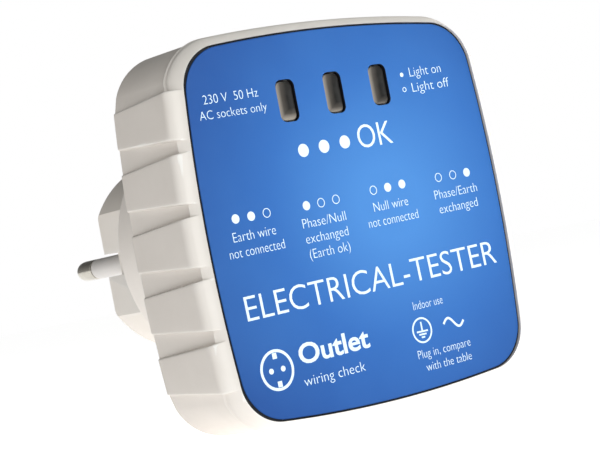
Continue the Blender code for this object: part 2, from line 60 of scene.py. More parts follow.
# ------------------------------------------------------------ sizes from the CAD
FRONT, REAR = -60.6, -42.0
HALF, CORNER, SIDE_BULGE, HEIGHT_RATIO = 36.1, 11.6, 265.0, 0.986
RIM_IN, RIM_DEEP, RIM_BELOW_PADS, PAD_DEEP, PAD_FADE = 2.55, 3.8, 0.7, 3.1, 1.4
SHELL_FRONT_BELOW, SHELL_REAR_BELOW = (1.75, 1.1), (0.3, 1.0)
SHELL_START, SHELL_SIDE = (1.7, 3.9), 28.0
PAD_PITCH, PAD_FRONT, PAD_REAR = 10.66, 4.29, 3.11
CAVITY_HALF = 33.4
FRONT_WALL = (-58.9, -56.9)
LABEL_HALF, LABEL_CORNER, LABEL_FRONT, LABEL_THICK = 32.85, CORNER - 3.2, -60.2, 1.0
SEAT_WIDER, SEAT_SHIFT = 1.006, 0.2
WINDOW_X, WINDOW_Z, WINDOW_RISE = (-11.25, -0.75, 9.75), 21.5, 0.035
WINDOW_WIDE, WINDOW_TALL, LENS_FRONT = 4.0, 7.3, -59.8
BOSS, BOSS_R, BOSS_HOLE, BOSS_HOLE_FRONT, COVER_THICK = 26.6, 3.3, 1.5, -54.6, 3.0
POST_X, POST_Z, POST_R, POST_HOLE, POST_HOLE_FRONT = (-18.0, 18.0), -25.5, 2.6, 1.3, -55.6
BOARD_FRONT = -49.8
COLLAR_R, COLLAR_WALL, COLLAR_END = 23.8, 2.0, -17.8
BLOCK_R, BLOCK_FLAT = 18.4, 15.5
GUIDE_WIDTH, GUIDE_FLOOR, CLIP_WIDTH, CLIP_CHANNEL = 4.4, 12.4, 6.0, 15.0
FLANGE_FRONT, FLANGE_BACK = -21.6, -24.6
PIN_X, PIN_R, PIN_LENGTH, SLEEVE_END = 9.5, 2.0, 19.1, 12.8
CARRIER_SCREWS = ((-9.5, -10.5), (9.5, 10.5))

# ------------------------------------------------------------ sizes that only the looks have
LIP_WIDE, LIP_DEEP, SHELL_STEP = 0.5, 0.14, 0.14
EDGE_START, EDGE_LONG, EDGE_DEEP = 18.0, 0.6, 0.45
PADS_END, CORNER_STEPS, SIDE_STEPS = 27.6, 18, 26
PRINT_SLOPE, PRINT_BOLD = 0.022, -0.016
PRINT_FRONT, PRINT_BACK = LABEL_FRONT - 0.025, LABEL_FRONT + 0.05
DOT_R, RING_R, RING_LINE, OK_DOT_R = 0.79, 0.81, 0.13, 1.15
BEYOND = 30

# ------------------------------------------------------------ colours, light and camera
LABEL_MIDDLE = (0.056, 0.205, 0.52)
LABEL_MAIN = (0.024, 0.118, 0.38)
LABEL_EDGE = (0.007, 0.050, 0.22)
# Lens colours: a dark smoky middle, then a half tone and a pale tone that are painted light for the lit edges
# of the windows.
LENS_DARK, LENS_HALF_PAINTED_LIGHT, LENS_PAINTED_LIGHT = (0.012, 0.011, 0.010), (0.065, 0.056, 0.048), (0.30, 0.26, 0.22)
FLOOR_TONES, FLOOR_GLOW = ((0.86, 0.86, 0.86), (0.88, 0.88, 0.88)), 0.84
FLOOR_SIZE, FLOOR_THICK, FLOOR_BELOW = 4000.0, 20, 0.05
LIGHT_FROM = Vector((-0.1, -0.35, -0.93)).normalized()
LIGHT_LOW, LIGHT_HIGH, LIGHT_STRENGTH = 0.0, 1.0, 0.9
CAMERA_AZIMUTH, CAMERA_ELEVATION, CAMERA_ROLL = -37.65, -1.16, -10.95
CAMERA_DISTANCE, CAMERA_SIDE, CAMERA_UP, CAMERA_LENS = 352.09, -10.66, -2.02, 121.18
CAMERA_AIM = Vector((0.0, -60.2, -0.1))


def bowed(half, corner):
    """Reach of a bowed side's centre, centre of the round corner, and where they meet."""
    reach = SIDE_BULGE - half
    centre = (math.sqrt(2 * (SIDE_BULGE - corner) ** 2 - reach**2) - reach) / 2
    return reach, centre, math.atan2(centre, centre + reach)


REACH, CENTRE, TURN = bowed(HALF, CORNER)
QUARTERS = ((1, 0), (0, 1), (-1, 0), (0, -1))
BOSSES = [(sx * BOSS, sz * BOSS) for sx in (-1, 1) for sz in (-1, 1)]


# ------------------------------------------------------------ mesh helpers
def keep(name, mesh, mat=None):
    obj = bpy.data.objects.new(name, mesh)
    bpy.context.scene.collection.objects.link(obj)
    if mat:
        mesh.materials.clear()
        mesh.materials.append(mat)
    return obj


def mesh_of(name, build, angle=32):
    mesh = bpy.data.meshes.new(name)
    bm = bmesh.new()
    build(bm)
    bmesh.ops.recalc_face_normals(bm, faces=bm.faces)
    bm.to_mesh(mesh)
    bm.free()
    smooth(mesh, angle)
    return mesh


def smooth(mesh, angle=32):
    for face in mesh.polygons:
        face.use_smooth = True
    mesh.set_sharp_from_angle(angle=math.radians(angle))


def add_loft(bm, rings, caps=True):
    """Skin through rings of points; a ring of one point closes the skin there."""
    rows = [[bm.verts.new([c * MM for c in p]) for p in ring] for ring in rings]
    for a, b in zip(rows, rows[1:]):
        count = max(len(a), len(b))
        for i in range(count):
            j = (i + 1) % count
            corners = [a[i % len(a)], a[j % len(a)], b[j % len(b)], b[i % len(b)]]
            bm.faces.new(list(dict.fromkeys(corners)))
    if caps:
        for row in (rows[0], rows[-1]):
            if len(row) > 2:
                bm.faces.new(row)
    return rows


def loft(name, rings, mat=None, angle=32):
    return keep(name, mesh_of(name, lambda bm: add_loft(bm, rings), angle), mat)


def several(name, solids):
    def build(bm):
        for rings in solids:
            add_loft(bm, rings)

    return keep(name, mesh_of(name, build))


def apply_cuts(obj, steps, angle=32, bevel=None, segments=2):
    """Joins or cuts with the helpers in turn, rounds the edges, and drops the helpers."""
    for other, operation in steps:
        mod = obj.modifiers.new("cut", "BOOLEAN")
        mod.operation, mod.object, mod.solver, mod.use_self = operation, other, "EXACT", True
    if bevel:
        weld = obj.modifiers.new("weld", "WELD")
        weld.merge_threshold = 0.00002
        mod = obj.modifiers.new("edges", "BEVEL")
        mod.width, mod.segments = bevel * MM, segments
        mod.limit_method, mod.angle_limit = "ANGLE", math.radians(40)
        mod.use_clamp_overlap = True
    mats = list(obj.data.materials)
    graph = bpy.context.evaluated_depsgraph_get()
    mesh = bpy.data.meshes.new_from_object(obj.evaluated_get(graph))
    obj.modifiers.clear()
    obj.data = mesh
    mesh.materials.clear()
    for mat in mats:
        mesh.materials.append(mat)
    mesh.polygons.foreach_set("material_index", [0] * len(mesh.polygons))
    smooth(mesh, angle)
    for other in {other for other, _ in steps}:
        bpy.data.objects.remove(other, do_unlink=True)
    return obj


def spin(profile, x=0.0, z=0.0, count=96):
    """Rings of a turned solid about Y through (x, z); a radius of 0 is a pole."""
    rings = []
    for r, y in profile:
        if r == 0:
            rings.append([(x, y, z)])
        else:
            rings.append(
                [
                    (x + r * math.cos(t), y, z + r * math.sin(t))
                    for t in (2 * math.pi * (i + 0.5) / count for i in range(count))
                ]
            )
    return rings


def rounded_profile(points, radii, steps=4):
    """Turned profile with its corners rounded by these radii."""
    out = []
    for i, (p, r) in enumerate(zip(points, radii)):
        if not r:
            out.append(p)
            continue
        p = Vector(p)
        a = (Vector(points[i - 1]) - p).normalized()
        b = (Vector(points[i + 1]) - p).normalized()
        reach = r / math.tan(a.angle(b) / 2)
        start, end = p + a * reach, p + b * reach
        for k in range(steps + 1):
            t = k / steps
            q = start * (1 - t) ** 2 + p * (2 * t * (1 - t)) + end * t**2
            out.append((q.x, q.y))
    return out


def side_arc(v):
    """Point and outward direction on the right side of the outline at this height."""
    if abs(v) <= SIDE_BULGE * math.sin(TURN):
        a = math.asin(v / SIDE_BULGE)
        return (SIDE_BULGE * math.cos(a) - REACH, v), (math.cos(a), math.sin(a))
    a = math.asin((abs(v) - CENTRE) / CORNER)
    return corner_arc(math.copysign(a, v))


def corner_arc(a):
    s = math.copysign(1.0, a)
    at = (CENTRE + CORNER * math.cos(a), s * (CENTRE + CORNER * math.sin(abs(a))))
    return at, (math.cos(a), math.sin(a))


def square(half, corner, y, side_steps=10, corner_steps=14):
    """Square outline with bowed sides and round corners."""
    reach, centre, turn = bowed(half, corner)
    octant = []
    for i in range(side_steps):
        a = turn * i / side_steps
        octant.append((SIDE_BULGE * math.cos(a) - reach, SIDE_BULGE * math.sin(a)))
    for i in range(corner_steps + 1):
        a = turn + (math.pi / 4 - turn) * i / corner_steps
        octant.append((centre + corner * math.cos(a), centre + corner * math.sin(a)))
    quarter = octant + [(v, u) for u, v in reversed(octant[1:-1])]
    points = []
    for c, s in QUARTERS:
        points += [(c * u - s * v, y, s * u + c * v) for u, v in quarter]
    return points


def rounded_box(x, z, wide, tall, radius, y, steps=6):
    points = []
    for q, (sx, sz) in enumerate(((1, 1), (-1, 1), (-1, -1), (1, -1))):
        for i in range(steps + 1):
            a = math.pi / 2 * (q + i / steps)
            points.append(
                (
                    x + sx * (wide / 2 - radius) + radius * math.cos(a),
                    y,
                    z + sz * (tall / 2 - radius) + radius * math.sin(a),
                )
            )
    return points


def box_rings(x0, x1, y0, y1, z0, z1):
    return [[(x0, y, z0), (x1, y, z0), (x1, y, z1), (x0, y, z1)] for y in (y0, y1)]


def rod(x, z, r, y0, y1, count=40):
    return spin([(r, y0), (r, y1)], x, z, count)


# ------------------------------------------------------------ node materials
def new_material(name):
    mat = bpy.data.materials.new(name)
    mat.use_nodes = True
    tree = mat.node_tree
    shader = tree.nodes["Principled BSDF"]
    where = tree.nodes.new("ShaderNodeTexCoord").outputs["Object"]
    return mat, tree, shader, where


def noise_of(tree, where, scale, detail=2.0, rough=0.5, stretch=None):
    if stretch:
        mapping = tree.nodes.new("ShaderNodeMapping")
        mapping.inputs["Scale"].default_value = stretch
        tree.links.new(where, mapping.inputs["Vector"])
        where = mapping.outputs["Vector"]
    node = tree.nodes.new("ShaderNodeTexNoise")
    node.inputs["Scale"].default_value = scale
    node.inputs["Detail"].default_value = detail
    node.inputs["Roughness"].default_value = rough
    tree.links.new(where, node.inputs["Vector"])
    return node.outputs["Fac"]


def ranged(tree, value, low, high, to_low, to_high):
    node = tree.nodes.new("ShaderNodeMapRange")
    for key, number in zip(("From Min", "From Max", "To Min", "To Max"), (low, high, to_low, to_high)):
        node.inputs[key].default_value = number
    tree.links.new(value, node.inputs["Value"])
    return node.outputs["Result"]


def ramp(tree, value, stops):
    node = tree.nodes.new("ShaderNodeValToRGB")
    elements = node.color_ramp.elements
    for i, (at, colour) in enumerate(stops):
        element = elements[i] if i < 2 else elements.new(at)
        element.position = at
        element.color = (*colour, 1.0)
    tree.links.new(value, node.inputs["Fac"])
    return node.outputs["Color"]


def mixed(tree, share, colour, other):
    """Colour socket that gives way to another colour by this share."""
    node = tree.nodes.new("ShaderNodeMix")
    node.data_type = "RGBA"
    tree.links.new(share, node.inputs[0])
    tree.links.new(colour, node.inputs[6])
    node.inputs[7].default_value = (*other, 1.0)
    return node.outputs[2]


def combined(tree, operation, a, b):
    node = tree.nodes.new("ShaderNodeMath")
    node.operation = operation
    tree.links.new(a, node.inputs[0])
    tree.links.new(b, node.inputs[1])
    return node.outputs[0]


def bumps(tree, shader, layers):
    """Stacks bump layers of (height socket, strength, distance in metres)."""
    normal = None
    for height, strength, distance in layers:
        node = tree.nodes.new("ShaderNodeBump")
        node.inputs["Strength"].default_value = strength
        node.inputs["Distance"].default_value = distance
        tree.links.new(height, node.inputs["Height"])
        if normal:
            tree.links.new(normal, node.inputs["Normal"])
        normal = node.outputs["Normal"]
    tree.links.new(normal, shader.inputs["Normal"])


def plastic(name, light, dark, rough=(0.42, 0.55), grain=900.0, depth=0.00003, edge_highlight=None, specular=0.45):
    """Moulded plastic: faint mottling, fine spark-eroded grain, and a painted highlight that lightens convex
    edges.
    """
    mat, tree, shader, where = new_material(name)
    mottle = noise_of(tree, where, 60.0, 4.0, 0.6)
    fine = noise_of(tree, where, grain, 2.0)
    colour = ramp(tree, mottle, ((0.3, dark), (0.7, light)))
    # Painted highlight: convex edges, picked out by pointiness, are mixed toward a lighter colour as if they
    # caught the light.
    if edge_highlight:
        edge = tree.nodes.new("ShaderNodeNewGeometry").outputs["Pointiness"]
        share = ranged(tree, edge, 0.51, 0.58, 0.0, 0.6)
        colour = mixed(tree, share, colour, edge_highlight)
    tree.links.new(colour, shader.inputs["Base Color"])
    tree.links.new(ranged(tree, fine, 0.3, 0.7, *rough), shader.inputs["Roughness"])
    shader.inputs["Specular IOR Level"].default_value = specular
    bumps(tree, shader, ((fine, 0.25, depth), (mottle, 0.1, depth * 3)))
    return mat


def metal(name, light, dark, rough=(0.16, 0.3), scratch=(1.0, 0.06, 1.0)):
    """Plated metal with drawn scratches along Y and patchy tarnish."""
    mat, tree, shader, where = new_material(name)
    lines = noise_of(tree, where, 2600.0, 2.0, 0.6, scratch)
    patch = noise_of(tree, where, 180.0, 3.0)
    tree.links.new(ramp(tree, patch, ((0.35, dark), (0.65, light))), shader.inputs["Base Color"])
    tree.links.new(ranged(tree, lines, 0.3, 0.7, *rough), shader.inputs["Roughness"])
    shader.inputs["Metallic"].default_value = 1.0
    bumps(tree, shader, ((lines, 0.12, 0.00002),))
    return mat


def label_material():
    """Blue printed plate, a little lighter in the middle and darker to the corners."""
    mat, tree, shader, where = new_material("label_blue")
    centre = tree.nodes.new("ShaderNodeMapping")
    centre.inputs["Location"].default_value = (-0.15, 0.0, -0.02)
    centre.inputs["Scale"].default_value = (21.0, 0.0, 23.0)
    tree.links.new(where, centre.inputs["Vector"])
    far = tree.nodes.new("ShaderNodeVectorMath")
    far.operation = "LENGTH"
    tree.links.new(centre.outputs["Vector"], far.inputs[0])
    wide = noise_of(tree, where, 34.0, 3.0)
    spread = ranged(tree, far.outputs["Value"], 0.15, 1.05, 0.0, 1.0)
    colour = ramp(tree, spread, ((0.0, LABEL_MIDDLE), (0.45, LABEL_MAIN), (1.0, LABEL_EDGE)))
    colour = mixed(tree, ranged(tree, wide, 0.35, 0.65, 0.0, 0.16), colour, LABEL_MIDDLE)
    tree.links.new(colour, shader.inputs["Base Color"])
    fine = noise_of(tree, where, 1400.0, 2.0)
    tree.links.new(ranged(tree, fine, 0.3, 0.7, 0.32, 0.46), shader.inputs["Roughness"])
    shader.inputs["Specular IOR Level"].default_value = 0.16
    bumps(tree, shader, ((fine, 0.12, 0.00002), (wide, 0.05, 0.0002)))
    return mat


def lens_material():
    """Smoky lens: dark in the middle, with painted light on its left and lower edges, where the lit inner
    walls of the window would show paler.
    """
    mat, tree, shader, where = new_material("smoky_lens")
    parts = tree.nodes.new("ShaderNodeSeparateXYZ")
    tree.links.new(where, parts.inputs[0])
    # Painted light: a band along the lower edge and one along the left edge of each window are ramped toward
    # the pale colour as if lit.
    low = WINDOW_Z - WINDOW_TALL / 2
    painted_light = ranged(tree, parts.outputs["Z"], (low + 0.2) * MM, (low + 2.0) * MM, 1.0, 0.0)
    for at in WINDOW_X:
        left = at - WINDOW_WIDE / 2
        near = ranged(tree, parts.outputs["X"], (left + 0.2) * MM, (at + 0.5) * MM, 1.0, 0.0)
        inside = ranged(tree, parts.outputs["X"], (left - 0.6) * MM, (left - 0.5) * MM, 0.0, 1.0)
        painted_light = combined(tree, "MAXIMUM", painted_light, combined(tree, "MULTIPLY", near, inside))
    grain = noise_of(tree, where, 700.0, 3.0)
    colour = ramp(tree, painted_light, ((0.0, LENS_DARK), (0.5, LENS_HALF_PAINTED_LIGHT), (1.0, LENS_PAINTED_LIGHT)))
    colour = mixed(tree, ranged(tree, grain, 0.35, 0.65, 0.0, 0.06), colour, (0.12, 0.11, 0.10))
    tree.links.new(colour, shader.inputs["Base Color"])
    tree.links.new(ranged(tree, grain, 0.3, 0.7, 0.3, 0.42), shader.inputs["Roughness"])
    shader.inputs["Specular IOR Level"].default_value = 0.1
    bumps(tree, shader, ((grain, 0.06, 0.00003),))
    return mat


# The last colour given to each plastic is its painted edge highlight.
HOUSING = plastic("housing_plastic", (0.77, 0.715, 0.66), (0.715, 0.66, 0.605), edge_highlight=(0.88, 0.86, 0.82))
# Painted light: the rear cover and plug plastic are lighter copies of the housing plastic, so the collar and
# plug block come out brighter as if more lit.
COVER_PAINTED_LIGHT = plastic("cover_plastic", (0.93, 0.87, 0.81), (0.87, 0.81, 0.75), edge_highlight=(0.9, 0.87, 0.83))
PLUG_PAINTED_LIGHT = plastic("plug_plastic", (0.90, 0.84, 0.77), (0.84, 0.78, 0.71), edge_highlight=(0.9, 0.87, 0.83))
SLEEVE = plastic("sleeve_plastic", (0.76, 0.73, 0.70), (0.70, 0.67, 0.64), rough=(0.35, 0.45), grain=1500.0)
LABEL = label_material()
PRINT = plastic(
    "print_white", (0.70, 0.82, 0.87), (0.62, 0.75, 0.82), rough=(0.45, 0.6), grain=2400.0, depth=0.00001
)
LENS = lens_material()
# Black for the gap round the label and for the label's edges and slot walls: painted shadow.
GAP_SHADOW_BLACK = plastic(
    "painted_gap_shadow", (0.012, 0.012, 0.016), (0.006, 0.006, 0.008), rough=(0.6, 0.8), specular=0.2
)
NICKEL = metal("pin_metal", (0.72, 0.69, 0.62), (0.56, 0.53, 0.46))
STEEL = metal("contact_metal", (0.66, 0.65, 0.62), (0.5, 0.49, 0.46), (0.22, 0.38))
ZINC = metal("screw_metal", (0.6, 0.6, 0.6), (0.42, 0.43, 0.44), (0.25, 0.42), (1.0, 1.0, 1.0))


# ------------------------------------------------------------ front housing
def pad_half(y):
    return PAD_FRONT + (PAD_REAR - PAD_FRONT) * (FRONT + y - LABEL_FRONT) / (REAR - LABEL_FRONT)


# Distance outside a pad's edge, and how much of the surface there is pad.
PAD_EDGE = (
    (0.26, 0.0),
    (0.13, 0.05),
    (0.07, 0.22),
    (0.02, 0.62),
    (-0.04, 0.83),
    (-0.12, 0.94),
    (-0.26, 0.99),
    (-0.5, 1.0),
)


def head_columns():
    """Columns round the outline: each gives its place and how much of it is pad, for a row's y."""
    columns = []

    def turned_by(q, get):
        c, s = QUARTERS[q]

        def at(y):
            (u, v), (nu, nv), pad = get(y)
            return (c * u - s * v, s * u + c * v), (c * nu - s * nv, s * nu + c * nv), pad

        return at

    first = math.asin((PADS_END - CENTRE) / CORNER)
    turned = math.pi / 2 - TURN - first
    arcs = [first + turned * i / CORNER_STEPS for i in range(1, CORNER_STEPS + 1)]
    flat = [math.sin(TURN) * SIDE_BULGE * (-1 + 2 * i / SIDE_STEPS) for i in range(1, SIDE_STEPS)]

    for q in range(4):
        if q % 2:
            for v in flat:
                columns.append(turned_by(q, lambda y, v=v: (*side_arc(v), 0.0)))
            continue
        for a in reversed(arcs):
            columns.append(turned_by(q, lambda y, a=a: (*corner_arc(-a), 0.0)))
        side = [(lambda y: -PADS_END, 0.0)]
        for k in range(-2, 3):
            middle = k * PAD_PITCH

            def edge(t, way, middle=middle):
                return lambda y: (middle + way * (pad_half(y) + t)) / HEIGHT_RATIO

            side += [(edge(t, -1), w) for t, w in PAD_EDGE]
            for f in (-0.5, 0.0, 0.5):
                side.append((lambda y, m=middle, f=f: (m + f * pad_half(y)) / HEIGHT_RATIO, 1.0))
            side += [(edge(t, 1), w) for t, w in reversed(PAD_EDGE)]
            if k < 2:
                between = (k + 0.5) * PAD_PITCH
                side += [(lambda y, m=between, f=f: m / HEIGHT_RATIO + f, 0.0) for f in (-0.4, 0.4)]
        side.append((lambda y: PADS_END, 0.0))
        for get_v, pad in side:
            columns.append(turned_by(q, lambda y, g=get_v, pad=pad: (*side_arc(g(y)), pad)))
        for a in arcs:
            columns.append(turned_by(q, lambda y, a=a: (*corner_arc(a), 0.0)))
    return columns


def head_rows():
    """Rows from front to rear: each gives y behind the front for the place where the shell starts."""
    rows = [lambda s, f=f: f * s for f in (0, 0.002, 0.01, 0.03, 0.07, 0.13, 0.21, 0.31)]
    rows += [lambda s, f=f: 0.31 * s + f * (0.69 * s - 0.85) for f in (0.25, 0.5, 0.75)]
    rows += [lambda s, m=m: s - m for m in (0.85, 0.68, 0.5, 0.38, 0.25, 0.12, 0.0)]
    rows += [lambda s, m=m: s + m for m in (0.04, 0.1, 0.14, 0.3, 0.6, 1.1, 1.6)]
    shares = (0.05, 0.1, 0.16, 0.22, 0.36, 0.5, 0.64, 0.78, 0.9, 1.0)
    rows += [lambda s, f=f: (s + 1.6) + f * (17.9 - s - 1.6) for f in shares]
    rows += [lambda s, y=y: y for y in (18.05, 18.2, 18.35, 18.48, 18.56, 18.6)]
    return rows


def beside(z):
    """1 in the middle of a side, falling to 0 at the corners."""
    return 1 - min(1.0, abs(z) / SHELL_SIDE) ** 4


def shell_inset(y, direction, z):
    across = direction[0] ** 2
    front = SHELL_FRONT_BELOW[1] + (SHELL_FRONT_BELOW[0] - SHELL_FRONT_BELOW[1]) * beside(z)
    rear = SHELL_REAR_BELOW[0] * across + SHELL_REAR_BELOW[1] * (1 - across)
    return front + (rear - front) * y / (REAR - FRONT)


def rim_inset(y):
    return RIM_IN - (RIM_IN - RIM_BELOW_PADS) * math.sin(math.pi / 2 * min(1.0, y / RIM_DEEP))


def pad_inset(y):
    pad = RIM_IN - RIM_IN * math.sin(math.pi / 2 * min(1.0, y / PAD_DEEP))
    share = min(1.0, y / PAD_FADE)
    return rim_inset(y) + (pad - rim_inset(y)) * share * share * (3 - 2 * share)


def window_z(x):
    return WINDOW_Z + WINDOW_RISE * (x - WINDOW_X[1])


def front_housing():
    columns = head_columns()
    rings = []
    for row in head_rows():
        ring = []
        for column in columns:
            (x, z), _, _ = column(2.0)
            start = SHELL_START[1] + (SHELL_START[0] - SHELL_START[1]) * beside(z)
            y = row(start)
            (x, z), n, pad = column(y)
            lip = max(0.0, 1 - abs(y - start + LIP_WIDE) / LIP_WIDE)
            rim = rim_inset(min(y, start)) + LIP_DEEP * (1 - beside(z)) * lip * lip * (3 - 2 * lip)
            down = min(1.0, max(0.0, (y - start) / SHELL_STEP))
            base = rim + (shell_inset(y, n, z) - rim) * down
            inset = base + (pad_inset(y) - base) * pad
            if y > EDGE_START:
                inset += EDGE_DEEP * (1 - math.sqrt(max(0.0, 1 - ((y - EDGE_START) / EDGE_LONG) ** 2)))
            ring.append((x - n[0] * inset, FRONT + y, (z - n[1] * inset) * HEIGHT_RATIO))
        rings.append(ring)
    body = loft("head_shell", rings, HOUSING)
    seat = loft("seat", [seat_ring(y) for y in (FRONT - 2, FRONT_WALL[0])])
    cavity = loft("cavity", [square(CAVITY_HALF, CORNER - 2.8, y) for y in (FRONT_WALL[1], REAR + 2)])
    root = FRONT_WALL[1] - 0.6
    bosses = [rod(x, z, BOSS_R, root, REAR - COVER_THICK - GAP) for x, z in BOSSES]
    bosses += [rod(x, POST_Z, POST_R, root, BOARD_FRONT - GAP) for x in POST_X]
    holes = [rod(x, z, BOSS_HOLE, BOSS_HOLE_FRONT, REAR) for x, z in BOSSES]
    holes += [rod(x, POST_Z, POST_HOLE, POST_HOLE_FRONT, REAR) for x in POST_X]
    holes += [
        [
            rounded_box(x, window_z(x), WINDOW_WIDE + 0.4, WINDOW_TALL + 0.4, 1.4, y)
            for y in (FRONT, FRONT_WALL[1] + 1)
        ]
        for x in WINDOW_X
    ]
    cuts = (
        (cavity, "DIFFERENCE"),
        (several("bosses", bosses), "UNION"),
        (seat, "DIFFERENCE"),
        (several("holes", holes), "DIFFERENCE"),
    )
    return apply_cuts(body, cuts)


def seat_ring(y, less=0.0):
    """Opening for the label, which sits a little to the right in it."""
    ring = square(LABEL_HALF + GAP - less, LABEL_CORNER - less, y)
    return [(x * SEAT_WIDER - SEAT_SHIFT, y, z) for x, _, z in ring]


def label_gap_shadow():
    """Black fill in the seat round the label's edge: painted shadow for the dark gap there."""
    front, back = LABEL_FRONT + 0.22, FRONT_WALL[0] - 0.02
    loops = [seat_ring(front, 0.03), seat_ring(back, 0.03)]
    loops += [square(LABEL_HALF + 0.03, LABEL_CORNER, y) for y in (back, front)]

    def build(bm):
        rows = add_loft(bm, loops, caps=False)
        count = len(rows[0])
        for i in range(count):
            j = (i + 1) % count
            bm.faces.new((rows[-1][i], rows[-1][j], rows[0][j], rows[0][i]))

    return keep("label_gap_shadow", mesh_of("label_gap_shadow", build), GAP_SHADOW_BLACK)


def front_label():
    back = LABEL_FRONT + LABEL_THICK
    turns = [math.pi / 2 * i / 4 for i in range(5)]
    edge = [(0.2 * (1 - math.sin(t)), 0.2 * (1 - math.cos(t))) for t in turns]
    rings = [square(LABEL_HALF - inset, LABEL_CORNER - inset, LABEL_FRONT + y) for inset, y in edge]
    rings.append(square(LABEL_HALF, LABEL_CORNER, back))
    plate = loft("label_plate", rings, LABEL)
    slots = [
        [rounded_box(x, window_z(x), WINDOW_WIDE, WINDOW_TALL, 1.2, y) for y in (LABEL_FRONT - 1, back + 1)]
        for x in WINDOW_X
    ]
    apply_cuts(plate, ((several("slots", slots), "DIFFERENCE"),), bevel=0.1)
    # Painted shadow: the faces of the plate that do not face the front, which are its edges and the walls of
    # its window slots, take the black of the gap.
    plate.data.materials.append(GAP_SHADOW_BLACK)
    for face in plate.data.polygons:
        face.material_index = int(face.normal.y > -0.4)
        face.use_smooth = face.normal.y > -0.999
    return plate


def lens(name, x):
    """Lens with a shallow dished face, and the flange that holds it from behind."""
    wide, tall = WINDOW_WIDE - 2 * GAP, WINDOW_TALL - 2 * GAP
    back = FRONT_WALL[1] + GAP
    z = window_z(x)
    rings = [[(x, LENS_FRONT + 0.2, z)]]
    for share, depth in ((0.35, 0.18), (0.6, 0.13), (0.8, 0.06), (0.93, 0.01)):
        rings.append(rounded_box(x, z, wide * share, tall * share, share, LENS_FRONT + depth))
    rings.append(rounded_box(x, z, wide, tall, 1.0, LENS_FRONT + 0.05))
    rings.append(rounded_box(x, z, wide, tall, 1.0, back))
    rings += [rounded_box(x, z, wide + 2.4, tall + 2.4, 2.0, y) for y in (back, back + 0.8)]
    return loft(name, rings, LENS, 50)


# ------------------------------------------------------------ print on the label
def raised(bm, outline, hole=None):
    """Thin closed print from an outline of (x, z) points, with an optional matching hole."""
    loops = [outline] + ([hole] if hole else [])
    front = [[bm.verts.new((x * MM, PRINT_FRONT * MM, z * MM)) for x, z in loop] for loop in loops]
    back = [[bm.verts.new((x * MM, PRINT_BACK * MM, z * MM)) for x, z in loop] for loop in loops]
    count = len(outline)
    for f, b in zip(front, back):
        for i in range(count):
            j = (i + 1) % count
            bm.faces.new((f[i], f[j], b[j], b[i]))
    for side in (front, back):
        if hole:
            for i in range(count):
                j = (i + 1) % count
                bm.faces.new((side[0][i], side[0][j], side[1][j], side[1][i]))
        else:
            bm.faces.new(side[0])


def round_of(x, z, r, count=40):
    turns = [2 * math.pi * i / count for i in range(count)]
    return [(x + r * math.cos(t), z + r * math.sin(t)) for t in turns]


def stroke(bm, points, width):
    """Line of this width through the points."""
    left, right = [], []
    for i, p in enumerate(points):
        a, b = points[max(i - 1, 0)], points[min(i + 1, len(points) - 1)]
        way = Vector((b[0] - a[0], b[1] - a[1])).normalized()
        left.append((p[0] - way.y * width / 2, p[1] + way.x * width / 2))
        right.append((p[0] + way.y * width / 2, p[1] - way.x * width / 2))
    raised(bm, left + right[::-1])


def glyph_mesh(words, bold=0.0):
    curve = bpy.data.curves.new("words", "FONT")
    curve.body = words
    curve.size = 1.0
    curve.offset = bold
    curve.extrude = 0.05
    curve.resolution_u = 4
    obj = bpy.data.objects.new("words", curve)
    bpy.context.scene.collection.objects.link(obj)
    graph = bpy.context.evaluated_depsgraph_get()
    mesh = bpy.data.meshes.new_from_object(obj.evaluated_get(graph))
    bpy.data.objects.remove(obj, do_unlink=True)
    bpy.data.curves.remove(curve)
    return mesh


def capital_height():
    mesh = glyph_mesh("H")
    ups = [v.co.y for v in mesh.vertices]
    bpy.data.meshes.remove(mesh)
    return max(ups) - min(ups)


CAPITAL = capital_height()


def words(bm, text, x0, x1, z, height, bold=PRINT_BOLD):
    """Words from x0 to x1 with their base line starting at height z, rising with the print."""
    mesh = glyph_mesh(text, bold)
    xs = [v.co.x for v in mesh.vertices]
    wide = max(xs) - min(xs)
    sx, sz = (x1 - x0) / wide, height / CAPITAL
    for v in mesh.vertices:
        x, up = (v.co.x - min(xs)) * sx, v.co.y * sz
        y = PRINT_FRONT if v.co.z > 0 else PRINT_BACK
        v.co = Vector((x0 + x - PRINT_SLOPE * up, y, z + up + PRINT_SLOPE * x)) * MM
    bm.from_mesh(mesh)
    bpy.data.meshes.remove(mesh)


def dot(bm, x, z, filled, size=1.0):
    if filled:
        raised(bm, round_of(x, z, DOT_R * size))
    else:
        raised(bm, round_of(x, z, RING_R * size), round_of(x, z, RING_R * size - RING_LINE))


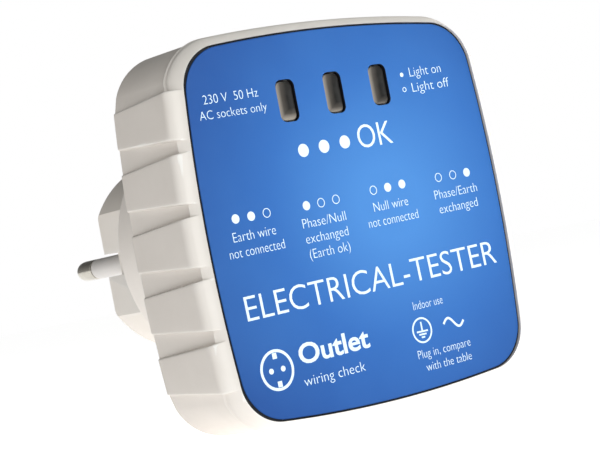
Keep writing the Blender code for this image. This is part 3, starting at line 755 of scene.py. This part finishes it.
def print_rows(bm):
    words(bm, "230 V  50 Hz", -28.7, -17.2, 22.2, 1.55)
    words(bm, "AC sockets only", -30.0, -15.9, 19.6, 1.5)
    dot(bm, 15.33, 23.1, True, 0.5)
    dot(bm, 15.31, 20.4, False, 0.55)
    words(bm, "Light on", 17.2, 24.8, 22.55, 1.7)
    words(bm, "Light off", 17.2, 26.2, 19.75, 1.7)
    for x, z in ((-9.91, 12.27), (-5.3, 12.45), (-0.57, 12.68)):
        raised(bm, round_of(x, z, OK_DOT_R))
    words(bm, "OK", 2.5, 10.4, 11.1, 4.1, -0.006)
    groups = (
        (
            ((-26.76, 2.63, 1), (-23.49, 2.65, 1), (-20.18, 2.76, 0)),
            (("Earth wire", 9.0), ("not connected", 11.6)),
        ),
        (
            ((-11.56, 2.83, 1), (-8.31, 2.92, 0), (-4.96, 3.07, 0)),
            (("Phase/Null", 9.6), ("exchanged", 9.4), ("(Earth ok)", 9.0)),
        ),
        (
            ((3.71, 3.54, 0), (7.07, 3.63, 1), (10.45, 3.78, 1)),
            (("Null wire", 8.0), ("not connected", 11.6)),
        ),
        (
            ((19.26, 3.87, 0), (22.78, 3.9, 0), (26.22, 3.94, 1)),
            (("Phase/Earth", 10.4), ("exchanged", 9.4)),
        ),
    )
    for dots, lines in groups:
        for x, z, filled in dots:
            dot(bm, x, z, filled)
        middle, base, _ = dots[1]
        for i, (line, wide) in enumerate(lines):
            words(bm, line, middle - wide / 2, middle + wide / 2, base - 3.9 - 2.65 * i, 1.65)
    words(bm, "ELECTRICAL-TESTER", -28.2, 29.4, -14.55, 4.2, -0.008)


def print_mark(bm):
    """Generic outlet sign with words beside it, and two generic symbols."""
    x, z = -24.2, -23.4
    raised(bm, round_of(x, z, 3.5, 64), round_of(x, z, 3.0, 64))
    for s in (-1, 1):
        raised(bm, round_of(x + s * 1.25, z + s * 1.25 * PRINT_SLOPE, 0.48))
        stroke(bm, [(x - s * PRINT_SLOPE * far, z + s * far) for far in (2.9, 1.9)], 0.9)
    words(bm, "Outlet", -19.2, -3.6, -23.4, 3.3, 0.02)
    words(bm, "wiring check", -19.1, -5.6, -27.2, 1.7)
    words(bm, "Indoor use", 7.6, 14.6, -18.6, 1.5)
    words(bm, "Plug in, compare", 6.6, 19.2, -27.2, 1.5)
    words(bm, "with the table", 8.0, 18.9, -29.6, 1.5)
    x, z = 8.6, -22.3
    raised(bm, round_of(x, z, 2.3, 56), round_of(x, z, 1.98, 56))
    stroke(bm, [(x, z + 1.5), (x, z - 0.05)], 0.32)
    for wide, down in ((1.3, 0.2), (0.85, 0.72), (0.4, 1.24)):
        stroke(bm, [(x - wide, z - down), (x + wide, z - down)], 0.3)
    x = 16.2
    wave = [(x - 2.4 + 4.8 * t / 24, z + 0.2 + 0.9 * math.sin(2 * math.pi * t / 24)) for t in range(25)]
    stroke(bm, wave, 0.42)


def label_print():
    def build(bm):
        print_rows(bm)
        print_mark(bm)
        bmesh.ops.remove_doubles(bm, verts=bm.verts, dist=0.000001)

    return keep("label_print", mesh_of("label_print", build, 20), PRINT)


# ------------------------------------------------------------ rear cover and plug
def rear_cover():
    rings = [
        square(CAVITY_HALF - GAP, CORNER - 3.1, REAR - COVER_THICK),
        square(CAVITY_HALF - GAP, CORNER - 3.1, REAR - 0.3),
        square(CAVITY_HALF - GAP - 0.1, CORNER - 3.2, REAR - 0.09),
        square(CAVITY_HALF - GAP - 0.3, CORNER - 3.4, REAR),
    ]
    plate = loft("rear_plate", rings, COVER_PAINTED_LIGHT)
    foot = COLLAR_R + 0.9
    outside = [(foot, REAR - 1.0), (foot, REAR), (COLLAR_R, REAR + 0.9)]
    outside += [(COLLAR_R, COLLAR_END), (0, COLLAR_END)]
    outside = rounded_profile(outside, [0, 0, 0.6, 0.9, 0])
    collar = loft("collar", spin([(0, REAR - 1.0), *outside], count=128))
    inner, mouth = COLLAR_R - COLLAR_WALL, BLOCK_R + GAP
    inside = [(0, REAR - COVER_THICK - 2), (inner, REAR - COVER_THICK - 2), (inner, FLANGE_FRONT + GAP)]
    inside += [(mouth, FLANGE_FRONT + GAP), (mouth, COLLAR_END - 0.25), (mouth + 0.25, COLLAR_END)]
    inside += [(mouth + 0.25, COLLAR_END + 2), (0, COLLAR_END + 2)]
    bore = loft("bore", spin(inside, count=128))
    screw_hole = [(1.5, REAR - COVER_THICK - 1), (1.5, REAR - 2.0), (2.95, REAR - 2.0)]
    screw_hole += [(2.95, REAR - 0.2), (3.15, REAR), (3.15, REAR + 2)]
    holes = several("cover_holes", [spin(screw_hole, x, z, 48) for x, z in BOSSES])
    cuts = ((collar, "UNION"), (bore, "DIFFERENCE"), (holes, "DIFFERENCE"))
    return apply_cuts(plate, cuts)


def plug_block():
    flange_r = COLLAR_R - COLLAR_WALL - GAP
    edge = rounded_profile([(0, 0), (BLOCK_R, 0), (BLOCK_R, FLANGE_FRONT)], [0, 0.9, 0], 6)
    profile = [*edge, (flange_r, FLANGE_FRONT), (flange_r, FLANGE_BACK), (0, FLANGE_BACK)]
    body = loft("plug_block", spin(profile, count=128), PLUG_PAINTED_LIGHT)
    flats, grooves = [], []
    for s in (-1, 1):
        x = sorted((s * BLOCK_FLAT, s * BEYOND))
        flats.append(box_rings(*x, COLLAR_END + 0.3, 2, -BEYOND, BEYOND))
        x = sorted((s * GUIDE_FLOOR, s * (BEYOND + 1)))
        grooves.append(box_rings(*x, COLLAR_END + 0.3, 3, -GUIDE_WIDTH / 2, GUIDE_WIDTH / 2))
        z = sorted((s * CLIP_CHANNEL, s * (BEYOND + 1)))
        grooves.append(box_rings(-CLIP_WIDTH / 2 - 0.5, CLIP_WIDTH / 2 + 0.5, -BEYOND, 3.5, *z))
        grooves.append(rod(s * PIN_X, 0, PIN_R + GAP, FLANGE_BACK - 2, 2.5, 64))
    grooves += [rod(x, z, 1.4, FLANGE_BACK - 2, -14) for x, z in CARRIER_SCREWS]
    steps = ((several("flats", flats), "DIFFERENCE"), (several("grooves", grooves), "DIFFERENCE"))
    return apply_cuts(body, steps, angle=20, bevel=0.22, segments=3)


def pin(side, x):
    """Pin with a rounded tip and a flange behind the block, and its insulating sleeve."""
    back = FLANGE_BACK - GAP
    nose = [(0, 0), (0.55, 0.04), (1.0, 0.2), (1.4, 0.5)]
    nose += [(1.66, 0.85), (1.84, 1.3), (1.95, 1.9), (PIN_R, 2.7)]
    tip = [(r, PIN_LENGTH - down) for r, down in nose]
    tail = [(PIN_R, SLEEVE_END + 0.1), (PIN_R - 0.1, SLEEVE_END), (1.15, SLEEVE_END), (1.15, back - GAP)]
    tail += [(3.2, back - GAP), (3.2, back - 2.2), (1.1, back - 2.2), (1.1, back - 7.0), (0, back - 7.0)]
    metal_pin = loft("contact_pin_" + side, spin(tip + tail, x, count=64), NICKEL, 40)
    sleeve = [(1.45, SLEEVE_END - GAP), (PIN_R - 0.15, SLEEVE_END - GAP), (PIN_R, SLEEVE_END - GAP - 0.15)]
    sleeve += [(PIN_R, FLANGE_BACK + 1.0), (1.45, FLANGE_BACK + 1.0)]

    def build(bm):
        add_loft(bm, spin(sleeve + sleeve[:1], x, count=64), caps=False)
        bmesh.ops.remove_doubles(bm, verts=bm.verts, dist=0.000001)

    return metal_pin, keep("pin_sleeve_" + side, mesh_of("pin_sleeve_" + side, build, 40), SLEEVE)


def clip(name, s):
    """Sprung earth contact: a bent strip with its edges broken."""
    route = [(-30.4, 16.0), (-24.0, 16.0), (-18.2, 16.0), (-16.0, 16.5), (-13.0, 17.5)]
    route += [(-9.5, 18.0), (-6.0, 17.8), (-3.2, 17.0), (-1.2, 16.2)]
    points = []
    padded = [route[0], *route, route[-1]]
    for k in range(len(route) - 1):
        p0, p1, p2, p3 = (Vector(p) for p in padded[k : k + 4])
        for i in range(6):
            t = i / 6
            q = 2 * p1 + (p2 - p0) * t
            q += (2 * p0 - 5 * p1 + 4 * p2 - p3) * t * t
            q += (3 * p1 - p0 - 3 * p2 + p3) * t**3
            points.append(q / 2)
    points.append(Vector(route[-1]))
    upper, lower = [], []
    for i, p in enumerate(points):
        way = (points[min(i + 1, len(points) - 1)] - points[max(i - 1, 0)]).normalized()
        side = Vector((-way.y, way.x)) * 0.4
        upper.append(p + side)
        lower.append(p - side)
    outline = upper + lower[::-1]
    rings = [[(x, q.x, s * q.y) for q in outline] for x in (-CLIP_WIDTH / 2, CLIP_WIDTH / 2)]
    return apply_cuts(loft(name, rings, STEEL), (), bevel=0.12)


def add(piece, slot, *nodes):
    """Puts the piece on the one body, in place of these nodes; the slot argument is not used."""
    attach(piece, "root")
    if nodes:
        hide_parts(*nodes)
    return piece


add(front_housing(), "housing", "front_housing")
add(front_label(), "label", "front_label")
add(label_print(), "label")
add(label_gap_shadow(), "label")
for side, at in zip(("left", "middle", "right"), WINDOW_X):
    add(lens("lens_" + side, at), "lens", "window_" + side)
add(rear_cover(), "housing", "rear_cover")
add(plug_block(), "housing", "plug_insert")
for side, at in (("left", -PIN_X), ("right", PIN_X)):
    metal_pin, sleeve = pin(side, at)
    add(metal_pin, "pin_metal", "pin_" + side)
    add(sleeve, "sleeve", "sleeve_" + side)
add(clip("contact_clip_top", 1), "contact_metal", "earth_clip_top")
add(clip("contact_clip_bottom", -1), "contact_metal", "earth_clip_bottom")

# ------------------------------------------------------------ finishes of the CAD nodes that stay
FINISHES = {
    "contact_carrier": plastic("carrier_plastic", (0.10, 0.105, 0.11), (0.07, 0.075, 0.08)),
    "circuit_board": plastic(
        "board_laminate", (0.16, 0.12, 0.05), (0.11, 0.08, 0.035), rough=(0.4, 0.55), grain=2600.0
    ),
    "lamp_holder": plastic("holder_plastic", (0.62, 0.62, 0.6), (0.55, 0.55, 0.53)),
    "lamp": plastic(
        "lamp_glass", (0.75, 0.42, 0.3), (0.62, 0.3, 0.2), rough=(0.08, 0.16), grain=500.0, depth=0.00001
    ),
    "resistor": plastic("resistor_body", (0.58, 0.45, 0.3), (0.46, 0.35, 0.22), rough=(0.3, 0.42)),
    "diode": plastic("diode_body", (0.04, 0.04, 0.045), (0.02, 0.02, 0.024), rough=(0.25, 0.4)),
    "wire_live": plastic("wire_brown", (0.2, 0.09, 0.04), (0.14, 0.06, 0.03), rough=(0.35, 0.5)),
    "wire_neutral": plastic("wire_blue", (0.05, 0.16, 0.5), (0.03, 0.11, 0.4), rough=(0.35, 0.5)),
    "wire_earth": plastic("wire_green", (0.2, 0.42, 0.06), (0.12, 0.32, 0.05), rough=(0.35, 0.5)),
    "earth_bridge": STEEL,
}
for name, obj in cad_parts.items():
    found = [finish for key, finish in FINISHES.items() if name.startswith(key)]
    if "screw" in name:
        found = [ZINC]
    if found:
        for slot in obj.material_slots:
            slot.material = found[0]


# ------------------------------------------------------------ stage, light and camera
def floor():
    mat, tree, shader, where = new_material("floor")
    tone = noise_of(tree, where, 3.0, 2.0)
    colour = ramp(tree, tone, ((0.3, FLOOR_TONES[0]), (0.7, FLOOR_TONES[1])))
    tree.links.new(colour, shader.inputs["Base Color"])
    shader.inputs["Roughness"].default_value = 0.8
    shader.inputs["Emission Color"].default_value = (1.0, 1.0, 1.0, 1.0)
    shader.inputs["Emission Strength"].default_value = FLOOR_GLOW
    low = CAD_BOX[0].z / MM - FLOOR_BELOW
    corners = [(x * FLOOR_SIZE, y * FLOOR_SIZE) for x, y in ((-1, -1), (1, -1), (1, 1), (-1, 1))]
    rings = [[(x, y, z) for x, y in corners] for z in (low - FLOOR_THICK, low)]
    piece = loft("floor", rings, mat)


def world_light():
    """Soft light, brightest from one direction, behind a plain white that only the picture sees."""
    world = bpy.data.worlds.new("studio")
    bpy.context.scene.world = world
    world.use_nodes = True
    tree = world.node_tree
    lit = tree.nodes["Background"]
    where = tree.nodes.new("ShaderNodeTexCoord").outputs["Generated"]
    toward = tree.nodes.new("ShaderNodeVectorMath")
    toward.operation = "DOT_PRODUCT"
    tree.links.new(where, toward.inputs[0])
    toward.inputs[1].default_value = LIGHT_FROM
    level = ranged(tree, toward.outputs["Value"], -1.0, 1.0, LIGHT_LOW, LIGHT_HIGH)
    tree.links.new(ramp(tree, level, ((0.0, (0, 0, 0)), (1.0, (1.0, 1.0, 0.985)))), lit.inputs["Color"])
    lit.inputs["Strength"].default_value = LIGHT_STRENGTH
    plain = tree.nodes.new("ShaderNodeBackground")
    plain.inputs["Color"].default_value = (1.0, 1.0, 1.0, 1.0)
    choose = tree.nodes.new("ShaderNodeMixShader")
    seen = tree.nodes.new("ShaderNodeLightPath").outputs["Is Camera Ray"]
    tree.links.new(seen, choose.inputs[0])
    tree.links.new(lit.outputs[0], choose.inputs[1])
    tree.links.new(plain.outputs[0], choose.inputs[2])
    tree.links.new(choose.outputs[0], tree.nodes["World Output"].inputs["Surface"])


def area_light(name, place, aim, size, power, colour):
    """Round light; its place, aim and size are in metres."""
    data = bpy.data.lights.new(name, "AREA")
    data.shape, data.size, data.energy, data.color = "DISK", size, power, colour
    obj = bpy.data.objects.new(name, data)
    bpy.context.scene.collection.objects.link(obj)
    place, aim = Vector(place), Vector(aim)
    obj.matrix_world = Matrix.Translation(place) @ (aim - place).to_track_quat("-Z", "Y").to_matrix().to_4x4()


def camera():
    a, e, roll = (math.radians(v) for v in (CAMERA_AZIMUTH, CAMERA_ELEVATION, CAMERA_ROLL))
    back = Vector((math.sin(a) * math.cos(e), -math.cos(a) * math.cos(e), math.sin(e)))
    right = (-back).cross(Vector((0, 0, 1))).normalized()
    up = right.cross(-back)
    right, up = (
        math.cos(roll) * right + math.sin(roll) * up,
        -math.sin(roll) * right + math.cos(roll) * up,
    )
    data = bpy.data.cameras.new("camera")
    data.lens, data.sensor_width, data.clip_start = CAMERA_LENS, 36.0, 0.01
    obj = bpy.data.objects.new("camera", data)
    bpy.context.scene.collection.objects.link(obj)
    place = (CAMERA_AIM + back * CAMERA_DISTANCE + right * CAMERA_SIDE + up * CAMERA_UP) * MM
    obj.matrix_world = Matrix.Translation(place) @ Matrix((right, up, back)).transposed().to_4x4()
    bpy.context.scene.camera = obj


floor()
world_light()
area_light("front", (0.1, -0.82, 0.24), (0, -0.06, 0), 0.5, 4.3, (0.91, 0.98, 1.0))
area_light("right", (0.46, -0.13, 0.2), (0.03, -0.05, 0), 0.25, 1.0, (1.0, 1.0, 1.0))
area_light("low_left", (-0.27, 0.03, -0.24), (-0.02, -0.03, -0.01), 0.2, 0.95, (1.0, 0.97, 0.94))
camera()
bpy.context.scene.view_settings.view_transform = "Standard"

bpy.context.view_layer.update()
